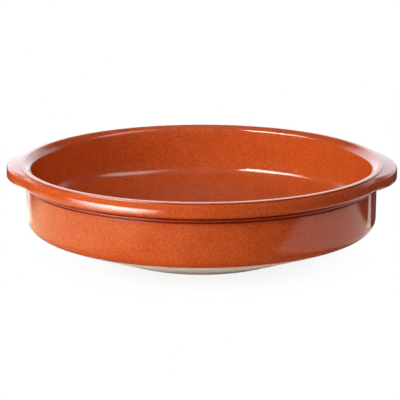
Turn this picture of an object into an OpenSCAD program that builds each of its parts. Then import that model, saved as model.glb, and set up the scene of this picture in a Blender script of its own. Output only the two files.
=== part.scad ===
// Round terracotta cazuela, one piece of fired clay.
// Seen from above it is a circle with a flat ear at each end of the X axis.
// The origin is on the axis, on the table: +Z is up.

/* [Body] */
// Diameter of the upright outer wall
wall_d = 280; // [240:1:320]
// Height from the table to the top of the lip
dish_h = 74.5; // [68:0.5:100]
// Thickness of the wall just under the lip
wall_t = 5.2; // [4:0.1:8]
// Lean of the inner wall, which widens towards the lip, in degrees
wall_lean = 7; // [2:0.5:12]

/* [Base] */
// Diameter of the flat foot
foot_d = 146; // [110:1:180]
// Rounding between the foot and the belly
foot_round = 4; // [1:0.5:8]
// Height at which the outer wall turns in to the belly
turn_h = 31; // [24:0.5:38]
// Rounding of that turn
turn_round = 8; // [4:0.5:12]
// Thickness of the base in the middle
base_t = 9; // [6:0.5:14]
// Diameter of the level middle of the inner floor
floor_d = 114; // [80:1:130]
// Rounding between the level middle and the sloping floor
floor_round = 50; // [20:1:60]
// Height at which the inner wall turns in to the floor
well_h = 47; // [41:0.5:54]
// Rounding of the inner turn
well_round = 15; // [8:0.5:20]

/* [Lip] */
// Height of the lip above the ledge of the band
step_h = 1.1; // [0.9:0.1:3]
// Distance from the outer wall to the outside of the lip
lip_out = 4.6; // [3.5:0.1:4.8]
// Rounding of the outer edge of the lip
lip_edge = 0.7; // [0.3:0.1:0.8]
// Distance from the top of the inner wall to the highest line of the lip
crown_in = 6.7; // [6:0.1:7.5]
// Rounding of the lip towards the inside
crown_round = 5.5; // [3:0.1:5.8]
// Depth of the inner flank of the lip, from its top to the inner wall
flank_h = 5; // [4:0.1:6.5]

/* [Band] */
// Distance from the outer wall to the outside of the band
band_out = 7; // [6.5:0.1:10]
// Height of the band
band_h = 10.7; // [8:0.1:13]
// Rounding of the upper edge of the band and of the ears
band_top_round = 2.1; // [1:0.1:2.1]
// Rounding of the lower edge of the band and of the ears
band_low_round = 3.2; // [1:0.1:3.4]
// Height of the crease between the band and the bead
crease_h = 0.5; // [0.3:0.1:1]
// Radius of the bead under the band
bead_round = 1.4; // [1:0.1:2.4]
// Depth of the groove under the bead
groove_depth = 0.5; // [0.3:0.1:1]
// Height of the groove under the bead
groove_h = 0.7; // [0.4:0.1:1.5]

/* [Ears] */
// Distance from the outside of the band to the tip of an ear
ear_out = 9; // [5:0.5:20]
// Radius of the outline of an ear
ear_round = 92; // [70:1:115]
// Height by which the top of an ear is set into the band where it starts
ear_inset = 0.2; // [0.1:0.05:0.6]
// Height by which the top of an ear comes down from the ledge to its edge
ear_droop = 1.5; // [1.2:0.1:2.5]
// Height by which the underside of an ear comes down from the band's underside to its edge
ear_under = 1.5; // [1:0.1:2.5]

/* [Hidden] */
$fn = 180;

arc_step = 10;        // degrees between the points of a rounding
clay = [0.74, 0.30, 0.15];

wall_r = wall_d / 2;
band_r = wall_r + band_out;
lip_r = wall_r + lip_out;

// Heights of the rim, from the top down
ledge_z = dish_h - step_h;
band_z = ledge_z - band_h;
bead_z = band_z - crease_h - bead_round;
groove_z = bead_z - bead_round;

// Each ear grows out of the rim from this radius, half way between the wall and the band's edge
seat_r = (wall_r + band_r - band_low_round) / 2;
seat_overlap = 3;     // degrees by which the slab of an ear runs on past that radius
cut_margin = 1;       // by which a cut passes the faces that it cuts

// Points of a rounding about centre c, from angle a to angle b
function arc(c, r, a, b) =
    let (n = max(2, ceil(abs(b - a) / arc_step)))
    [for (i = [0:n]) c + r * [cos(a + (b - a) * i / n), sin(a + (b - a) * i / n)]];

// Slope of the line that runs under two roundings and touches both
function slope_under(c1, r1, c2, r2) =
    let (d = c2 - c1)
    atan2(d[1], d[0]) - asin((r2 - r1) / norm(d));

// Angle, from 0 to 360, at which the line up from point p touches the rounding about c
function touch_angle(c, r, p) =
    let (w = p - c)
    (atan2(w[1], w[0]) + 360) % 360 - acos(r / norm(w));

// Outside below the rim: foot, belly and turn
foot_c = [foot_d / 2, foot_round];
turn_c = [wall_r - turn_round, turn_h];
belly_slope = slope_under(foot_c, foot_round, turn_c, turn_round);

// Inside: top of the wall, well and floor
wall_top = [wall_r - wall_t, dish_h - flank_h];
well_c = [wall_top[0] - (wall_top[1] - well_h) * tan(wall_lean) - well_round / cos(wall_lean), well_h];
floor_c = [floor_d / 2, base_t + floor_round];
floor_slope = slope_under(floor_c, floor_round, well_c, well_round);

// Inside of the lip
crown_c = [wall_top[0] + crown_in, dish_h - crown_round];
flank_angle = touch_angle(crown_c, crown_round, wall_top);

// Rounded edge between two heights, from below, with its outermost point at x = 0
function rounded_edge(z0, z1) = concat(
    arc([-band_low_round, z0 + band_low_round], band_low_round, -90, 0),
    arc([-band_top_round, z1 - band_top_round], band_top_round, 0, 90));
band_edge = rounded_edge(band_z, ledge_z);
ear_edge = rounded_edge(band_z - ear_under, ledge_z - ear_droop);

outside = concat(
    [[0, 0]],
    arc(foot_c, foot_round, -90, -90 + belly_slope),
    arc(turn_c, turn_round, -90 + belly_slope, 0),
    [[wall_r, groove_z - groove_h]],
    arc([wall_r - groove_depth, bead_z], bead_round, -90, 90),
    [[wall_r - groove_depth, band_z]],
    [for (p = band_edge) [band_r + p[0], p[1]]],
    [[lip_r, ledge_z]],
    arc([lip_r - lip_edge, dish_h - lip_edge], lip_edge, 0, 90));

inside = concat(
    arc(crown_c, crown_round, 90, flank_angle),
    [wall_top],
    arc(well_c, well_round, -wall_lean, -90 + floor_slope),
    arc(floor_c, floor_round, -90 + floor_slope, -90),
    [[0, base_t]]);

// The turned dish, with its band all the way round
module bowl() {
    rotate_extrude() polygon(concat(outside, inside));
}

// The outline of an ear is an arc about this point of the X axis
ear_x = band_r + ear_out - ear_round;
slab_in_r = ear_round / 2;

// Angle about that point at which the outline is at radius r of the dish
function ear_angle(r) =
    acos((r * r - ear_round * ear_round - ear_x * ear_x) / (2 * ear_x * ear_round));
slab_angle = ear_angle(seat_r) + seat_overlap;

// Section of an ear: level as far as the seat, then sloping down to its edge
ear_section = concat(
    [[slab_in_r, band_z + ear_inset], [seat_r - ear_x, band_z + ear_inset]],
    [for (p = ear_edge) [ear_round + p[0], p[1]]],
    [[seat_r - ear_x, ledge_z - ear_inset], [slab_in_r, ledge_z - ear_inset]]);

// One ear, on the +X side: a slice of a round slab, cut off inside the rim
module ear() {
    difference() {
        translate([ear_x, 0, 0]) rotate([0, 0, -slab_angle])
            rotate_extrude(angle = 2 * slab_angle) polygon(ear_section);
        translate([0, 0, band_z - ear_under - cut_margin])
            cylinder(r = seat_r, h = band_h + ear_under + 2 * cut_margin);
    }
}

module dish() {
    color(clay) union() {
        bowl();
        for (turn = [0, 180]) rotate([0, 0, turn]) ear();
    }
}

dish();
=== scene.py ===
import math

import bpy
import numpy as np
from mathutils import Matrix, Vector


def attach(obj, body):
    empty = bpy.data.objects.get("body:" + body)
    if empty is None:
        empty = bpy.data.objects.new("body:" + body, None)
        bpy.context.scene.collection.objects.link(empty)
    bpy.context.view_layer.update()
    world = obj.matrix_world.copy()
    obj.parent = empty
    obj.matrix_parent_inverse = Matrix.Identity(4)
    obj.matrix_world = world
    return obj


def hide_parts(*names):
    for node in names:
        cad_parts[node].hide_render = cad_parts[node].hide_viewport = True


mm = 0.001

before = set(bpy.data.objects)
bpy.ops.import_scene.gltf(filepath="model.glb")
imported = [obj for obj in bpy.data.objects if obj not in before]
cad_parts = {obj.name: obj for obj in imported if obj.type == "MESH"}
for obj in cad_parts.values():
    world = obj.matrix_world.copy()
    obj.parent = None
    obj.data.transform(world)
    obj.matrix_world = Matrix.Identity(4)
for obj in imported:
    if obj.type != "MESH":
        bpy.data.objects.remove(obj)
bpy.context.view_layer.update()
print("stage 1: the packed frame is loaded")


# the camera stands in front of the dish, a little above the rim
cameraSet = {
    "distance": 1.120,        # m, from the point looked at
    "elevation": 14.17,       # degrees above the table
    "turned": 2.0,            # degrees round towards the +X ear
    "lookAt": (0.0, 0.0, 0.041),
    "lookAtPixel": (201.5, 199.2),
    "focalPixels": 1386.7,    # focal length over one pixel of the frame
    "frameSide": 400,
    "sensorWidth": 36.0,
    "clipStart": 0.05,
}


def makeCamera(values):
    data = bpy.data.cameras.new("camera")
    camera = bpy.data.objects.new("camera", data)
    bpy.context.scene.collection.objects.link(camera)
    side = values["frameSide"]
    data.sensor_width = values["sensorWidth"]
    data.lens = values["focalPixels"] * data.sensor_width / side
    data.shift_x = (side / 2 - values["lookAtPixel"][0]) / side
    data.shift_y = (values["lookAtPixel"][1] - side / 2) / side
    tilt, turn = math.radians(values["elevation"]), math.radians(values["turned"])
    away = Vector((math.sin(turn) * math.cos(tilt), -math.cos(turn) * math.cos(tilt), math.sin(tilt)))
    camera.location = Vector(values["lookAt"]) + values["distance"] * away
    camera.rotation_euler = (math.pi / 2 - tilt, 0, turn)
    data.clip_start = values["clipStart"]
    bpy.context.scene.camera = camera


# short ways to write nodes, used by the geometry tree, the materials, the world and the lamps
def addNode(tree, kind, inputs=None, **settings):
    node = tree.nodes.new(kind)
    for name, value in settings.items():
        setattr(node, name, value)
    for key, value in (inputs or {}).items():
        setInput(tree, node.inputs[key], value)
    return node


def setInput(tree, socket, value):
    if isinstance(value, bpy.types.NodeSocket):
        tree.links.new(value, socket)
    else:
        socket.default_value = value


def calc(tree, operation, a, b=0.0, c=0.0):
    node = addNode(tree, "ShaderNodeMath", operation=operation)
    for socket, value in zip(node.inputs, (a, b, c)):
        setInput(tree, socket, value)
    return node.outputs[0]


def times(tree, a, b):
    return calc(tree, "MULTIPLY", a, b)


def plus(tree, a, b):
    return calc(tree, "ADD", a, b)


def minus(tree, a, b):
    return calc(tree, "SUBTRACT", a, b)


def lengthOf(tree, x, y):
    return calc(tree, "SQRT", plus(tree, times(tree, x, x), times(tree, y, y)))


def parts(tree, vector):
    return addNode(tree, "ShaderNodeSeparateXYZ", {"Vector": vector}).outputs


def ease(tree, value, span, start, stop):
    # from start to stop while the value crosses the span
    return addNode(tree, "ShaderNodeMapRange", {"Value": value, "From Min": span[0], "From Max": span[1],
                                                "To Min": start, "To Max": stop},
                   interpolation_type="SMOOTHSTEP").outputs[0]


def byRay(tree, ray, other, seen):
    # one shader for the rays that the Light Path output names, and another for the rest
    share = addNode(tree, "ShaderNodeLightPath").outputs[ray]
    return addNode(tree, "ShaderNodeMixShader", {0: share, 1: other, 2: seen}).outputs[0]


def freshTree(owner):
    owner.use_nodes = True
    owner.node_tree.nodes.clear()
    return owner.node_tree


def linear(*rgb):
    values = [v / 255 for v in rgb]
    return tuple(v / 12.92 if v <= 0.04045 else ((v + 0.055) / 1.055) ** 2.4 for v in values) + (1.0,)


# section of the dish, in millimetres and degrees
dishSize = {
    "wallR": 140.0, "height": 74.5,
    "wallT": 5.2, "wallTDepth": 5.0,             # thickness of the wall, this far below the top of the lip
    "wallLean": 7.0,
    "footR": 73.0, "footRound": 4.0, "turnH": 31.0, "turnRound": 8.0,
    "bareTop": 24.6,                             # up to here the clay has no glaze on the outside; its pale colour is partly a painted reflection of the table
    "baseT": 9.0, "floorR": 57.0, "floorRound": 50.0, "wellH": 47.0, "wellRound": 15.0,
    "lipOut": 4.6, "lipEdge": 0.45, "crownIn": 6.7, "crownRound": 2.6, "flankH": 6.5, "flankRound": 6.5,
    "stepH": 1.1,
    "stepFoot": ((0.5, -0.05), (0.0, -0.1), (-0.05, 0.3)),     # corner under the lip, from the ledge upwards
    # the share of painted shade in the corner under the lip's step
    "stepShade": 0.8,
    "bandOut": 7.0, "bandH": 10.7,
    "bandTopTall": 8.0, "bandTopEnd": 72.0,      # upper rounding, drawn out by the glaze, and where it stops
    "bandLowRound": 3.2, "bandLowTall": 2.5,
    "creaseH": 1.4, "creaseIn": 0.8,
    "beadRound": 1.1, "beadTall": 0.95, "beadIn": 0.15,
    "beadShade": (2, 8),                        # points at its lower and upper end that carry the painted crease shade
    "grooveH": 1.3, "grooveIn": 0.5,
    "grooveFade": 0.3,                           # height over which the painted crease shade fades out under the groove
    "earOut": 9.0, "earRound": 92.0, "earBlend": 4.0,
    "earDroop": 1.9,                             # how far the tip of an ear hangs down
    "earTopTall": 2.6,                           # upper rounding at that tip, crisper than the band's
    "glazeFill": 0.12,                           # how far the glaze softens a corner
    "segments": 400,
    "weld": 0.001,                               # under which points of the mesh are one
}


def arc(center, radius, start, end, tall=None, step=4.0):
    count = max(2, math.ceil(abs(end - start) / step))
    turns = [math.radians(start + (end - start) * i / count) for i in range(count + 1)]
    return [(center[0] + radius * math.cos(t), center[1] + (tall or radius) * math.sin(t)) for t in turns]


def slopeUnder(c1, r1, c2, r2):
    dx, dz = c2[0] - c1[0], c2[1] - c1[1]
    return math.degrees(math.atan2(dz, dx) - math.asin((r2 - r1) / math.hypot(dx, dz)))


def dishProfile(v):
    # outline in the r-z plane, from the middle of the underside out and back to the middle of the inside
    # each point: r, z, share of the ear's reach, of bare clay, of painted crease shade, of the lift at an
    # ear's tip
    bandR, lipR = v["wallR"] + v["bandOut"], v["wallR"] + v["lipOut"]
    ledgeZ = v["height"] - v["stepH"]
    bandZ = ledgeZ - v["bandH"]
    beadZ = bandZ - v["creaseH"] - v["beadTall"]
    grooveZ = beadZ - v["beadTall"]
    grooveLowZ = grooveZ - v["grooveH"]
    footC, turnC = (v["footR"], v["footRound"]), (v["wallR"] - v["turnRound"], v["turnH"])
    belly = slopeUnder(footC, v["footRound"], turnC, v["turnRound"])
    lean = math.radians(v["wallLean"])
    wallTop = (v["wallR"] - v["wallT"] - (v["flankH"] - v["wallTDepth"]) * math.tan(lean),
               v["height"] - v["flankH"])
    wellIn = (wallTop[1] - v["wellH"]) * math.tan(lean) + v["wellRound"] / math.cos(lean)
    wellC = (wallTop[0] - wellIn, v["wellH"])
    floorC = (v["floorR"], v["baseT"] + v["floorRound"])
    slope = slopeUnder(floorC, v["floorRound"], wellC, v["wellRound"])
    # the inner wall ends in a rounding, and a straight flank runs from there up to the crown of the lip
    flankC = (wallTop[0] + v["flankRound"] * math.cos(lean), wallTop[1] - v["flankRound"] * math.sin(lean))
    crownC = (v["wallR"] - v["wallT"] + v["crownIn"], v["height"] - v["crownRound"])
    rise = (crownC[0] - flankC[0], crownC[1] - flankC[1])
    flank = 180 - math.degrees(math.asin((v["flankRound"] - v["crownRound"]) / math.hypot(*rise))
                               + math.atan2(rise[0], rise[1]))

    points = []

    def add(path, ear=0.0, bare=0.0, paintedShade=0.0, lifted=lambda z: 0.0):
        points.extend((r, z, ear, bare, paintedShade, lifted(z)) for r, z in path)

    add([(0, 0)], bare=1)
    add(arc(footC, v["footRound"], -90, -90 + belly), bare=1)
    turn = arc(turnC, v["turnRound"], -90 + belly, 0)
    bareTurn = [p for p in turn if p[1] < v["bareTop"]]
    add(bareTurn, bare=1)
    add(turn[len(bareTurn):])
    add([(v["wallR"], grooveLowZ - v["grooveFade"])])
    # the groove, the bead's ends and the crease above it take painted shade
    add([(v["wallR"], grooveLowZ), (v["wallR"] - v["grooveIn"], grooveZ - v["grooveH"] / 2)], paintedShade=1)
    bead = arc((v["wallR"] - v["beadIn"], beadZ), v["beadRound"], -90, 90, tall=v["beadTall"])
    lowShaded, topShaded = v["beadShade"]
    add(bead[:lowShaded], paintedShade=1)
    add(bead[lowShaded:-topShaded])
    add(bead[-topShaded:], paintedShade=1)
    add([(v["wallR"] - v["creaseIn"], bandZ)], paintedShade=1)
    low, top = v["bandLowTall"], v["bandTopTall"]
    add(arc((bandR - v["bandLowRound"], bandZ + low), v["bandLowRound"], -90, 0, tall=low), ear=1)
    add(arc((lipR, ledgeZ - top), bandR - lipR, 0, v["bandTopEnd"], tall=top), ear=1,
        lifted=lambda z: (ledgeZ - z) / top)
    foot = [(lipR + out, ledgeZ + up) for out, up in v["stepFoot"]]
    add(foot[:1], ear=1)
    add(foot[1:], paintedShade=v["stepShade"])
    add(arc((lipR - v["lipEdge"], v["height"] - v["lipEdge"]), v["lipEdge"], 0, 90))
    add(arc(crownC, v["crownRound"], 90, flank))
    add(arc(flankC, v["flankRound"], flank, 180 - v["wallLean"]))
    add(arc(wellC, v["wellRound"], -v["wallLean"], -90 + slope))
    add(arc(floorC, v["floorRound"], -90 + slope, -90))
    add([(0, v["baseT"])])
    return np.array(points)


# how finely the section is followed, in millimetres and degrees
sectionSteps = {
    "spacing": 0.1,           # of the even steps that are softened
    "meanReach": 4,           # times the glaze's fill, to each side of a step
    "turn": 5.0,              # the most that the section turns from one kept point to the next
    "share": 0.12,            # the most that a share changes
    "length": 6.0,            # the longest straight piece
    "same": 1e-9,             # under which two points are one
}


def softened(points, reachOut, fill, steps):
    # small even steps along the section through an ear, then a short running mean that rounds the corners as
    # glaze does, then only the points needed
    gaps = np.hypot(np.diff(points[:, 0] + reachOut * points[:, 2]), np.diff(points[:, 1]))
    apart = gaps > steps["same"]
    points, gaps = points[np.r_[True, apart]], gaps[apart]
    along = np.r_[0, np.cumsum(gaps)]
    even = np.linspace(0, along[-1], int(along[-1] / steps["spacing"]))
    dense = np.column_stack([np.interp(even, along, column) for column in points.T])
    reach = int(steps["meanReach"] * fill / steps["spacing"])
    weights = np.exp(-0.5 * (np.arange(-reach, reach + 1) * steps["spacing"] / fill) ** 2)
    weights /= weights.sum()
    padded = np.vstack([np.repeat(dense[:1], reach, 0), dense, np.repeat(dense[-1:], reach, 0)])
    smooth = np.column_stack([np.convolve(column, weights, "valid") for column in padded.T])
    smooth[0], smooth[-1] = dense[0], dense[-1]
    pulledOut = np.column_stack([smooth[:, 0] + reachOut * smooth[:, 2], smooth[:, 1]])
    heading = np.unwrap(np.arctan2(*np.diff(pulledOut, axis=0).T[::-1]))
    kept = [0]
    for i in range(1, len(smooth) - 1):
        last = kept[-1]
        turned = abs(heading[i] - heading[last]) > math.radians(steps["turn"])
        changed = np.abs(smooth[i, 2:] - smooth[last, 2:]).max() > steps["share"]
        if turned or changed or (i - last) * steps["spacing"] > steps["length"]:
            kept.append(i)
    kept.append(len(smooth) - 1)
    return smooth[kept]


def makeProfileMesh(points):
    mesh = bpy.data.meshes.new("profile")
    edges = [(i, i + 1) for i in range(len(points) - 1)]
    mesh.from_pydata([(r * mm, 0, z * mm) for r, z in points[:, :2]], edges, [])
    for name, column in (("ear", 2), ("bare", 3), ("paintedShade", 4), ("lifted", 5)):
        layer = mesh.attributes.new(name, "FLOAT", "POINT")
        layer.data.foreach_set("value", points[:, column].astype(np.float32))
    return mesh


# turns the profile about the axis, and pulls its outer part out into the two ears
turningInputs = {
    "Segments": "NodeSocketInt", "Band radius": "NodeSocketFloat", "Ear reach": "NodeSocketFloat",
    "Ear radius": "NodeSocketFloat", "Ear blend": "NodeSocketFloat", "Ear droop": "NodeSocketFloat",
    "Ear lift": "NodeSocketFloat", "Weld": "NodeSocketFloat", "Finish": "NodeSocketMaterial",
}


def makeTurningTree():
    tree = bpy.data.node_groups.new("turnedDish", "GeometryNodeTree")
    face = tree.interface
    face.new_socket("Profile", in_out="INPUT", socket_type="NodeSocketGeometry")
    for name, kind in turningInputs.items():
        face.new_socket(name, in_out="INPUT", socket_type=kind)
    face.new_socket("Dish", in_out="OUTPUT", socket_type="NodeSocketGeometry")
    given = addNode(tree, "NodeGroupInput").outputs
    profile = given["Profile"]

    # a grid with one column for each turn and one row for each point of the profile
    count = addNode(tree, "GeometryNodeAttributeDomainSize", {"Geometry": profile}).outputs["Point Count"]
    grid = addNode(tree, "GeometryNodeMeshGrid", {"Vertices X": plus(tree, given["Segments"], 1),
                                                  "Vertices Y": count})
    index = addNode(tree, "GeometryNodeInputIndex").outputs["Index"]
    betweenPoints = plus(tree, index, 0.5)       # so that the division never lands on a whole number
    column = calc(tree, "FLOOR", calc(tree, "DIVIDE", betweenPoints, count))
    row = minus(tree, index, times(tree, column, count))

    def onProfile(kind, value):
        return addNode(tree, "GeometryNodeSampleIndex", {"Geometry": profile, "Value": value, "Index": row},
                       data_type=kind, domain="POINT").outputs["Value"]

    def named(name):
        field = addNode(tree, "GeometryNodeInputNamedAttribute", {"Name": name}, data_type="FLOAT")
        return onProfile("FLOAT", field.outputs["Attribute"])

    spot = parts(tree, onProfile("FLOAT_VECTOR", addNode(tree, "GeometryNodeInputPosition").outputs[0]))
    ear, lifted = named("ear"), named("lifted")
    shares = {name: named(name) for name in ("bare", "paintedShade")}

    # how far the outline of an ear, an arc about a point of the X axis, stands out from the band
    turn = times(tree, calc(tree, "DIVIDE", column, given["Segments"]), math.tau)
    sine, cosine = calc(tree, "SINE", turn), calc(tree, "COSINE", turn)
    center = minus(tree, plus(tree, given["Band radius"], given["Ear reach"]), given["Ear radius"])
    acrossEar = times(tree, center, sine)
    chord = calc(tree, "SQRT", minus(tree, times(tree, given["Ear radius"], given["Ear radius"]),
                                     times(tree, acrossEar, acrossEar)))
    outline = plus(tree, times(tree, center, calc(tree, "ABSOLUTE", cosine)), chord)
    pull = calc(tree, "SMOOTH_MAX", minus(tree, outline, given["Band radius"]), 0.0, given["Ear blend"])

    radius = plus(tree, spot["X"], times(tree, ear, pull))
    drop = minus(tree, times(tree, ear, given["Ear droop"]), times(tree, lifted, given["Ear lift"]))
    droop = times(tree, drop, calc(tree, "DIVIDE", pull, given["Ear reach"]))
    placed = addNode(tree, "ShaderNodeCombineXYZ", {"X": times(tree, radius, cosine),
                                                    "Y": times(tree, radius, sine),
                                                    "Z": minus(tree, spot["Z"], droop)})
    shaped = addNode(tree, "GeometryNodeSetPosition", {"Geometry": grid.outputs["Mesh"],
                                                       "Position": placed.outputs[0]}).outputs[0]
    for name, share in shares.items():
        shaped = addNode(tree, "GeometryNodeStoreNamedAttribute",
                         {"Geometry": shaped, "Name": name, "Value": share},
                         data_type="FLOAT", domain="POINT").outputs[0]
    closed = addNode(tree, "GeometryNodeMergeByDistance", {"Geometry": shaped, "Distance": given["Weld"]})
    smooth = addNode(tree, "GeometryNodeSetShadeSmooth", {"Geometry": closed.outputs[0]})
    real = addNode(tree, "GeometryNodeRealizeInstances", {"Geometry": smooth.outputs[0]})
    coloured = addNode(tree, "GeometryNodeSetMaterial", {"Geometry": real.outputs[0],
                                                         "Material": given["Finish"]})
    addNode(tree, "NodeGroupOutput", {"Dish": coloured.outputs[0]})
    return tree


def makeDish(v, finish):
    points = softened(dishProfile(v), v["earOut"], v["glazeFill"], sectionSteps)
    holder = bpy.data.objects.new("holder", makeProfileMesh(points))
    bpy.context.scene.collection.objects.link(holder)
    modifier = holder.modifiers.new("turned", "NODES")
    modifier.node_group = makeTurningTree()
    given = {"Segments": v["segments"], "Band radius": (v["wallR"] + v["bandOut"]) * mm,
             "Ear reach": v["earOut"] * mm, "Ear radius": v["earRound"] * mm, "Ear blend": v["earBlend"] * mm,
             "Ear droop": v["earDroop"] * mm, "Ear lift": (v["bandTopTall"] - v["earTopTall"]) * mm,
             "Weld": v["weld"] * mm, "Finish": finish}
    for item in modifier.node_group.interface.items_tree:
        if item.in_out == "INPUT" and item.name in given:
            modifier[item.identifier] = given[item.name]
    seen = holder.evaluated_get(bpy.context.evaluated_depsgraph_get())
    mesh = bpy.data.meshes.new_from_object(seen)
    mesh.name = "glazedDish"
    holder.modifiers.clear()
    bpy.data.objects.remove(holder)
    piece = bpy.data.objects.new("glazedDish", mesh)
    bpy.context.scene.collection.objects.link(piece)
    return piece


# red clay under a clear glaze, and bare clay on the foot and the belly, made near white there as a partly
# painted reflection of the pale table
glaze = {
    "clay": linear(199, 82, 34),
    "clayDark": linear(187, 71, 27),
    "clayLight": linear(210, 93, 42),
    "clayPlaces": (0.38, 0.5, 0.62),     # dark, middle and light clay, along the mottle
    "paintedShade": linear(146, 30, 3),        # painted shade: darker red in the creases by the bead and under the lip's step
    # bare clay, near white: its own pale tone and a painted reflection of the table
    "bareClayAndReflection": linear(255, 243, 232),
    "flecks": (620.0, 3.0, 0.65), "fleckShare": 0.8,         # noises: scale, detail and roughness
    "clouds": (60.0, 3.0, 0.5), "cloudShare": 0.2,
    "peel": (330.0, 2.0, 0.5), "peelShare": 0.5,
    "waves": (95.0, 1.0, 0.5),           # slow unevenness of the glaze, under its fine peel
    "unevenStrength": 0.1, "unevenDepth": 0.0006,
    "gloss": 0.07,                       # roughness of the glaze
    "bareRough": 0.3,                    # more than that, on bare clay
    "ior": 1.5,
}


def makeGlaze(values):
    material = bpy.data.materials.new("glazedClay")
    tree = freshTree(material)
    coords = addNode(tree, "ShaderNodeTexCoord").outputs["Object"]

    def noise(scale, detail, roughness):
        return addNode(tree, "ShaderNodeTexNoise", {"Vector": coords, "Scale": scale, "Detail": detail,
                                                    "Roughness": roughness}).outputs["Fac"]

    def blend(factor, a, b):
        node = addNode(tree, "ShaderNodeMix", {"Factor": factor}, data_type="RGBA")
        setInput(tree, node.inputs[6], a)
        setInput(tree, node.inputs[7], b)
        return node.outputs[2]

    def share(name):
        return addNode(tree, "ShaderNodeAttribute", attribute_name=name).outputs["Fac"]

    # fine flecks over faint clouds, as the clay shows through the clear glaze
    mottle = plus(tree, times(tree, noise(*values["flecks"]), values["fleckShare"]),
                  times(tree, noise(*values["clouds"]), values["cloudShare"]))
    ramp = addNode(tree, "ShaderNodeValToRGB", {"Fac": mottle})
    dark, middle, light = values["clayPlaces"]
    first, last = ramp.color_ramp.elements
    first.position, first.color = dark, values["clayDark"]
    last.position, last.color = light, values["clayLight"]
    ramp.color_ramp.elements.new(middle).color = values["clay"]
    bare = share("bare")
    # the creases take a darker red, painted as their shade
    glazed = blend(share("paintedShade"), ramp.outputs["Color"], values["paintedShade"])
    # the bare belly takes the near-white colour, partly a painted reflection
    color = blend(bare, glazed, values["bareClayAndReflection"])

    height = plus(tree, times(tree, noise(*values["peel"]), values["peelShare"]), noise(*values["waves"]))
    bump = addNode(tree, "ShaderNodeBump", {"Height": height, "Strength": values["unevenStrength"],
                                            "Distance": values["unevenDepth"]})
    rough = plus(tree, times(tree, bare, values["bareRough"]), values["gloss"])
    surface = addNode(tree, "ShaderNodeBsdfPrincipled", {"Base Color": color, "Roughness": rough,
                                                         "Normal": bump.outputs[0], "IOR": values["ior"]})
    addNode(tree, "ShaderNodeOutputMaterial", {"Surface": surface.outputs[0]})
    return material


# the room, as the directions in which the glaze mirrors it: X to the right, Y to the back, Z up
studio = {
    "ambient": 0.14,
    "ambientColor": (1.0, 0.76, 0.66, 1.0),
    "mirrorColor": (0.9, 0.96, 1.0, 1.0),
    "backdropBright": 2.3,               # low behind the dish
    "backdropBack": (0.35, 0.75),        # starts here towards the back
    "backdropTop": (0.36, 0.56),         # fades out here upwards
    "backdropSide": (-0.3, 0.5),         # grows dimmer from left to right
    "backdropShares": (0.95, 0.62),
    "overheadBright": 0.3,
    "overheadFrom": (0.8, 0.95),
    "roomBright": 0.09,
}

white = (1.0, 1.0, 1.0, 1.0)


def makeWorld(values):
    world = bpy.data.worlds.new("studio")
    bpy.context.scene.world = world
    tree = freshTree(world)
    way = parts(tree, addNode(tree, "ShaderNodeTexCoord").outputs["Generated"])
    leftShare, rightShare = values["backdropShares"]

    # a bright low backdrop, a soft ceiling and a dim room in front
    backdrop = times(tree, ease(tree, way["Y"], values["backdropBack"], 0.0, values["backdropBright"]),
                     ease(tree, way["Z"], values["backdropTop"], 1.0, 0.0))
    backdrop = times(tree, backdrop, ease(tree, way["X"], values["backdropSide"], leftShare, rightShare))
    ceiling = ease(tree, way["Z"], values["overheadFrom"], 0.0, values["overheadBright"])
    room = plus(tree, plus(tree, backdrop, values["roomBright"]), ceiling)

    def background(color, strength):
        return addNode(tree, "ShaderNodeBackground", {"Color": color, "Strength": strength}).outputs[0]

    soft = background(values["ambientColor"], values["ambient"])
    mirrored = byRay(tree, "Is Glossy Ray", soft, background(values["mirrorColor"], room))
    surface = byRay(tree, "Is Camera Ray", mirrored, background(white, 1.0))
    addNode(tree, "ShaderNodeOutputWorld", {"Surface": surface})


# a pale table, whose shadow fades into white a little way out from the foot
table = {
    "half": 3.0,
    "paperEase": (0.15, 0.3),            # m from the middle, over which the table returns ever less light
    "paperNear": 0.88, "paperFar": 0.42,
    "paperTint": (1.0, 0.88, 0.82),
    "glowColor": (0.95, 0.97, 1.0, 1.0), "glow": 0.06,
    "whiteEase": (0.07, 0.14),           # m from the middle, over which the camera sees ever less shadow
    "whiteNear": 0.88,
}

# glowing patches painted on the table, seen only in the glaze's mirror, as painted reflections on the wall;
# in metres
tablePatches = {
    "nearDish": {"center": (0.0, 0.0), "half": (0.08, 0.08), "turn": 0, "edge": 0.08,
                 "color": (1.0, 0.9, 0.84), "strength": 0.2},
    "frontGlowPatch": {"center": (-0.10, -0.36), "half": (0.06, 0.05), "turn": 0, "edge": 0.14,
                  "color": (1.0, 0.92, 0.86), "strength": 0.25},
    "leftGlowPatch": {"center": (-0.33, -0.12), "half": (0.12, 0.14), "turn": 0, "edge": 0.12,
                 "color": (1.0, 0.86, 0.55), "strength": 1.35},
    "rightGlowPatch": {"center": (0.24, -0.08), "half": (0.08, 0.11), "turn": 0, "edge": 0.03,
                  "color": (1.0, 0.84, 0.78), "strength": 1.1},
    "rightEdge": {"center": (0.24, 0.10), "half": (0.004, 0.07), "turn": -36, "edge": 0.012,
                  "color": (1.0, 0.95, 0.9), "strength": 1.3},
    "leftEdge": {"center": (-0.208, 0.122), "half": (0.006, 0.045), "turn": 30, "edge": 0.045,
                 "color": (1.0, 0.95, 0.88), "strength": 1.5},
}


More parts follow.
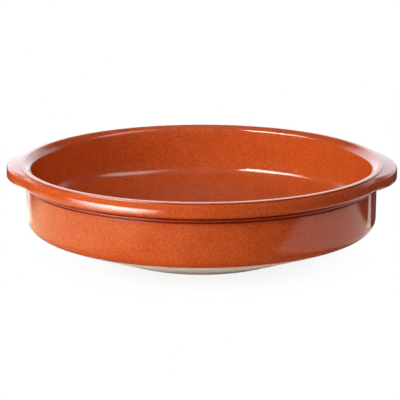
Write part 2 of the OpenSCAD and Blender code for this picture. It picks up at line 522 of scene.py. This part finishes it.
def makeFloor(values, patches):
    mesh = bpy.data.meshes.new("floor")
    half = values["half"]
    corners = [(-half, -half, 0), (half, -half, 0), (half, half, 0), (-half, half, 0)]
    mesh.from_pydata(corners, [], [(0, 1, 2, 3)])
    floor = bpy.data.objects.new("floor", mesh)
    bpy.context.scene.collection.objects.link(floor)
    material = bpy.data.materials.new("paleTable")
    tree = freshTree(material)
    spot = parts(tree, addNode(tree, "ShaderNodeTexCoord").outputs["Object"])

    def glowing(color, strength):
        return addNode(tree, "ShaderNodeEmission", {"Color": color, "Strength": strength}).outputs[0]

    def outside(dx, dy, wayX, wayY, half):
        # distance from the patch along one of its own two directions
        along = plus(tree, times(tree, dx, wayX), times(tree, dy, wayY))
        return calc(tree, "MAXIMUM", minus(tree, calc(tree, "ABSOLUTE", along), half), 0.0)

    fromMiddle = lengthOf(tree, spot["X"], spot["Y"])
    paper = ease(tree, fromMiddle, values["paperEase"], values["paperNear"], values["paperFar"])
    red, green, blue = (times(tree, paper, tint) for tint in values["paperTint"])
    tinted = addNode(tree, "ShaderNodeCombineColor", {"Red": red, "Green": green, "Blue": blue}).outputs[0]
    lit = addNode(tree, "ShaderNodeBsdfDiffuse", {"Color": tinted}).outputs[0]

    # for mirrored rays the table glows faintly, and more in the patches: painted reflections
    mirrored = glowing(values["glowColor"], values["glow"])
    for patch in patches.values():
        cosine, sine = math.cos(math.radians(patch["turn"])), math.sin(math.radians(patch["turn"]))
        dx, dy = minus(tree, spot["X"], patch["center"][0]), minus(tree, spot["Y"], patch["center"][1])
        gap = lengthOf(tree, outside(dx, dy, cosine, sine, patch["half"][0]),
                       outside(dx, dy, -sine, cosine, patch["half"][1]))
        strength = ease(tree, gap, (0.0, patch["edge"]), patch["strength"], 0.0)
        glow = glowing(patch["color"] + (1.0,), strength)
        mirrored = addNode(tree, "ShaderNodeAddShader", {0: mirrored, 1: glow}).outputs[0]

    whiteness = ease(tree, fromMiddle, values["whiteEase"], values["whiteNear"], 1.0)
    seen = addNode(tree, "ShaderNodeMixShader", {0: whiteness, 1: lit, 2: glowing(white, 1.0)}).outputs[0]
    surface = byRay(tree, "Is Camera Ray", byRay(tree, "Is Glossy Ray", lit, mirrored), seen)
    addNode(tree, "ShaderNodeOutputMaterial", {"Surface": surface})
    mesh.materials.append(material)


# soft boxes; fade is the share of the width and height over which a box dims at each of its sides
lamps = {
    "keyFront": {"place": (-0.98, -0.70, 0.50), "size": (0.7, 0.6), "watts": 13.0,
                 "color": (0.96, 1.03, 0.98), "matteOnly": True},
    "frontTop": {"place": (-0.25, -1.15, 0.95), "size": (0.8, 0.6), "watts": 8.0,
                 "color": (1.0, 1.05, 1.0), "matteOnly": True},
    "rightFill": {"place": (1.0, 0.55, 0.55), "size": (0.8, 0.6), "watts": 3.5,
                  "color": (1.0, 0.92, 0.88), "matteOnly": True},
    "lowCard": {"place": (-0.145, -0.185, 0.058), "size": (0.24, 0.044), "watts": 0.75,
                "color": (1.0, 0.98, 0.95), "fade": (0.6, 0.35, 0.75, 0.2), "sheenOnly": True},
    "leftStrip": {"place": (-0.735, 0.07, 1.0), "size": (0.42, 1.0), "turn": 53, "watts": 27,
                  "color": (1.0, 0.99, 0.97), "fade": (0.15, 0.15, 0.04, 0.75), "sheenOnly": True},
    "rightStrip": {"place": (0.75, 0.12, 1.0), "size": (1.2, 0.5), "turn": 0, "watts": 8,
                   "color": (0.9, 0.95, 1.0), "fade": (0.2, 0.6, 0.3, 0.3), "sheenOnly": True},
}

lampAim = (0, 0, 0.05)
mirrorDepth = 2.5                # past this ray depth a faded box isn't seen, so it is mirrored once


def fadeLamp(data, fade):
    tree = freshTree(data)
    spot = parts(tree, addNode(tree, "ShaderNodeNewGeometry").outputs["Parametric"])
    depth = addNode(tree, "ShaderNodeLightPath").outputs["Ray Depth"]
    share = calc(tree, "LESS_THAN", depth, mirrorDepth)
    for axis, low, high in (("X", fade[0], fade[1]), ("Y", fade[2], fade[3])):
        for span in ((0.0, low), (1.0, 1.0 - high)):
            share = times(tree, share, ease(tree, spot[axis], span, 0.0, 1.0))
    glow = addNode(tree, "ShaderNodeEmission", {"Strength": share})
    addNode(tree, "ShaderNodeOutputLight", {"Surface": glow.outputs[0]})


def makeLamp(name, values):
    data = bpy.data.lights.new(name, "AREA")
    data.shape = "RECTANGLE"
    data.size, data.size_y = values["size"]
    data.energy = values["watts"]
    data.color = values["color"]
    if "fade" in values:
        fadeLamp(data, values["fade"])
    lamp = bpy.data.objects.new(name, data)
    bpy.context.scene.collection.objects.link(lamp)
    lamp.location = values["place"]
    if "turn" in values:         # hangs level overhead
        lamp.rotation_euler = (0, 0, math.radians(values["turn"]))
    else:
        lamp.rotation_euler = (Vector(lampAim) - lamp.location).to_track_quat("-Z", "Y").to_euler()
    lamp.visible_camera = False
    lamp.visible_diffuse = not values.get("sheenOnly", False)
    lamp.visible_glossy = not values.get("matteOnly", False)


makeCamera(cameraSet)
dish = makeDish(dishSize, makeGlaze(glaze))
print("stage 2: the dish is turned,", len(dish.data.polygons), "faces")
makeWorld(studio)
makeFloor(table, tablePatches)
for name, values in lamps.items():
    makeLamp(name, values)
print("stage 3: lamps, floor and world are set")

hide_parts("dish")
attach(dish, "root")

bpy.context.scene.view_settings.view_transform = "Standard"
